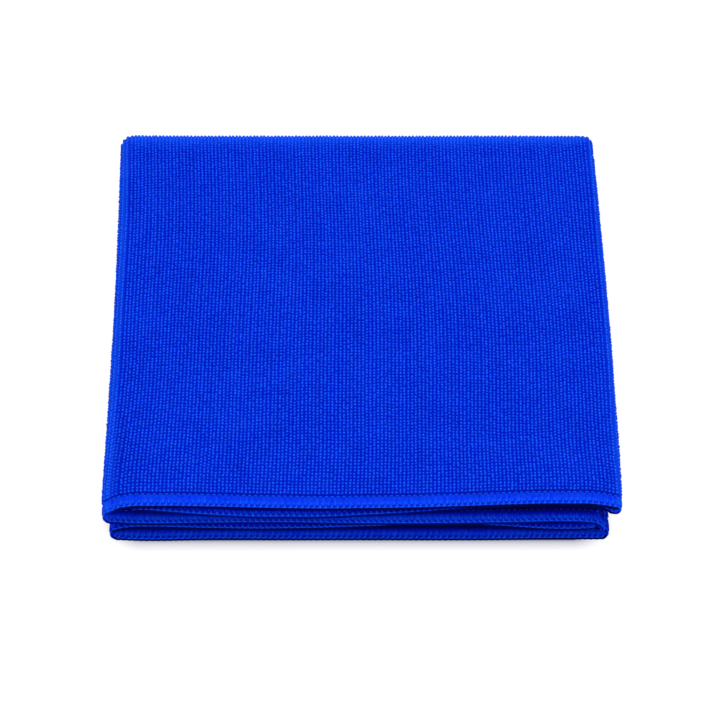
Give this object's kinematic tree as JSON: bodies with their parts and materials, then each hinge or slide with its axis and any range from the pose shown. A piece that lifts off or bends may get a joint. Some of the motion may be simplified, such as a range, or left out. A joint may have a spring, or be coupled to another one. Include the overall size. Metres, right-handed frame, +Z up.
{
  "type": "folded microfibre cloth",
  "caption": "Royal blue microfibre cleaning cloth of ribbed terry with overlocked hems, folded to a square pad.",
  "frame": {"origin": "centre of the pad's footprint, on the surface it rests on", "axes": "+Z up; +X to the right along the open hems, seen from the front; +Y from the hems to the back fold"},
  "size_m": [0.2046, 0.2002, 0.0245],
  "materials": {
    "microfibre": "ribbed terry of fine loops, matt with a soft sheen"
  },
  "bodies": {
    "root": {"cloth": "microfibre"}
  },
  "joints": []
}
